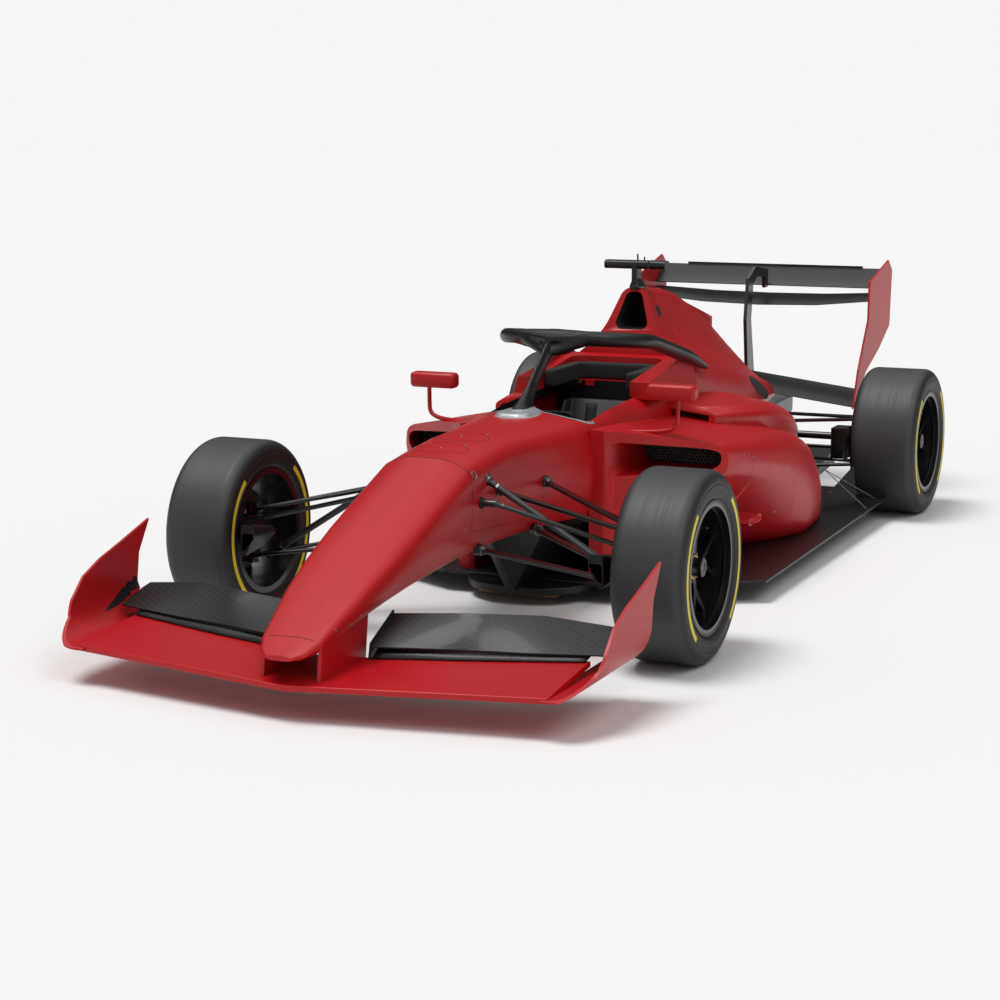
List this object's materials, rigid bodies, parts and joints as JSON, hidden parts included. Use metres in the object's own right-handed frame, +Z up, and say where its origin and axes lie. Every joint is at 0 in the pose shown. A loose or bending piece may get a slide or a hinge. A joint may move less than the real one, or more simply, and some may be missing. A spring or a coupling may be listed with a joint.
{
  "type": "open wheel racing car",
  "caption": "Single seat open wheel racing car with front and rear wings, halo, open cockpit, steered front wheels and slick tyres.",
  "frame": {"origin": "on the ground, under the middle of the car's length and width", "axes": "+X to the car's left, +Y to its tail, +Z up"},
  "size_m": [1.885, 4.965, 1.146],
  "materials": {
    "red_paint": "satin red paint",
    "carbon": "clear coated carbon weave",
    "black_satin": "satin black",
    "rim_black": "satin black magnesium",
    "tyre": "slick rubber",
    "cast_alloy": "cast",
    "screen": "dark mesh",
    "lamp": "red lens",
    "board": "laminated wear board",
    "padding": "moulded shell"
  },
  "bodies": {
    "chassis": {"monocoque": "red_paint", "rack_bushes": "cast_alloy", "nose": "red_paint", "cockpit_surround": "red_paint", "seat": "padding", "steering_wheel": "carbon", "halo": "carbon", "mirrors": "red_paint", "engine_block": "cast_alloy", "gearbox": "cast_alloy", "rain_light": "lamp", "engine_cover": "red_paint", "camera_bar": "carbon", "sidepod_left": "red_paint", "keel": "carbon", "headrest": "padding", "sidepod_right": "red_paint", "radiator_screens": "screen", "floor": "carbon", "splitter": "carbon", "plank": "board", "diffuser": "carbon", "front_wing_main": "red_paint", "front_wing_flaps": "carbon", "front_endplates": "red_paint", "rear_wing_main": "carbon", "rear_wing_flap": "carbon", "rear_endplates": "red_paint", "beam_wing": "carbon", "rear_wing_mast": "carbon", "front_upper_wishbones": "black_satin", "front_lower_wishbones": "black_satin", "rear_wishbones": "black_satin", "rear_uprights": "black_satin"},
    "rack": {"steering_rack": "black_satin"},
    "knuckle_left": {"front_upright_left": "black_satin"},
    "knuckle_right": {"front_upright_right": "black_satin"},
    "wheel_front_left": {"tyre_front_left": "tyre", "rim_front_left": "rim_black"},
    "wheel_front_right": {"tyre_front_right": "tyre", "rim_front_right": "rim_black"},
    "wheel_rear_left": {"tyre_rear_left": "tyre", "rim_rear_left": "rim_black", "drive_shaft_left": "black_satin"},
    "wheel_rear_right": {"tyre_rear_right": "tyre", "rim_rear_right": "rim_black", "drive_shaft_right": "black_satin"}
  },
  "joints": [
    {"name": "steer_left", "type": "hinge", "parent": "chassis", "child": "knuckle_left", "pos_m": [0.75, -1.3345, 0.222], "axis": [-0.0735, 0.098, 0.9925], "range_deg": [-18, 18]},
    {"name": "steer_right", "type": "hinge", "parent": "chassis", "child": "knuckle_right", "pos_m": [-0.75, -1.3345, 0.222], "axis": [0.0735, 0.098, 0.9925], "range_deg": [-18, 18]},
    {"name": "rack_slide", "type": "slide", "parent": "chassis", "child": "rack", "axis": [1, 0, 0], "range_m": [-0.028, 0.028]},
    {"name": "roll_front_left", "type": "hinge", "parent": "knuckle_left", "child": "wheel_front_left", "pos_m": [0.804, -1.3265, 0.313], "axis": [1, 0, 0], "continuous": true},
    {"name": "roll_front_right", "type": "hinge", "parent": "knuckle_right", "child": "wheel_front_right", "pos_m": [-0.804, -1.3265, 0.313], "axis": [1, 0, 0], "continuous": true},
    {"name": "roll_rear_left", "type": "hinge", "parent": "chassis", "child": "wheel_rear_left", "pos_m": [0.802, 1.5535, 0.313], "axis": [1, 0, 0], "continuous": true},
    {"name": "roll_rear_right", "type": "hinge", "parent": "chassis", "child": "wheel_rear_right", "pos_m": [-0.802, 1.5535, 0.313], "axis": [1, 0, 0], "continuous": true}
  ],
  "couplings": [
    {"joint": "steer_right", "follows": "steer_left", "ratio": 1},
    {"joint": "rack_slide", "follows": "steer_left", "m_per_rad": 0.088}
  ]
}
